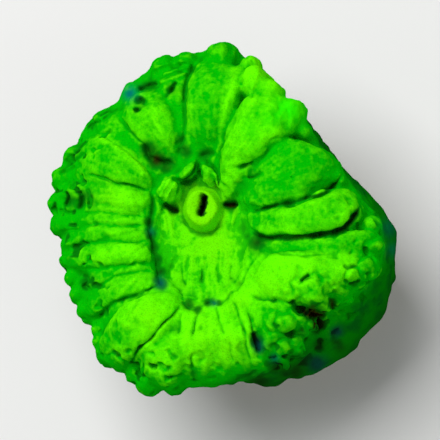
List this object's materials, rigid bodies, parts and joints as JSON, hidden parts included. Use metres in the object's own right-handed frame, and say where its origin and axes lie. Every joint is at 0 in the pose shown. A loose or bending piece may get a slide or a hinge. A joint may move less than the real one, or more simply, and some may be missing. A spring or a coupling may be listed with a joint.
{
  "type": "candy cane coral",
  "caption": "Fleshy stony-coral head with radial lobes round a basin and a raised slit mouth, on a short smooth stalk cut off flat.",
  "frame": {"origin": "centre of the round flat cut under the stalk", "axes": "+Z from the cut up to the head, -Y the side towards the bottom of the picture, +X its right side"},
  "size_m": [0.0278, 0.0282, 0.0208],
  "materials": {
    "coral_flesh": "matte, fluorescent green flesh, yellower on the crests and the disc, deep green in the creases and down the wall"
  },
  "bodies": {
    "root": {"coral_head": "coral_flesh"}
  },
  "joints": []
}
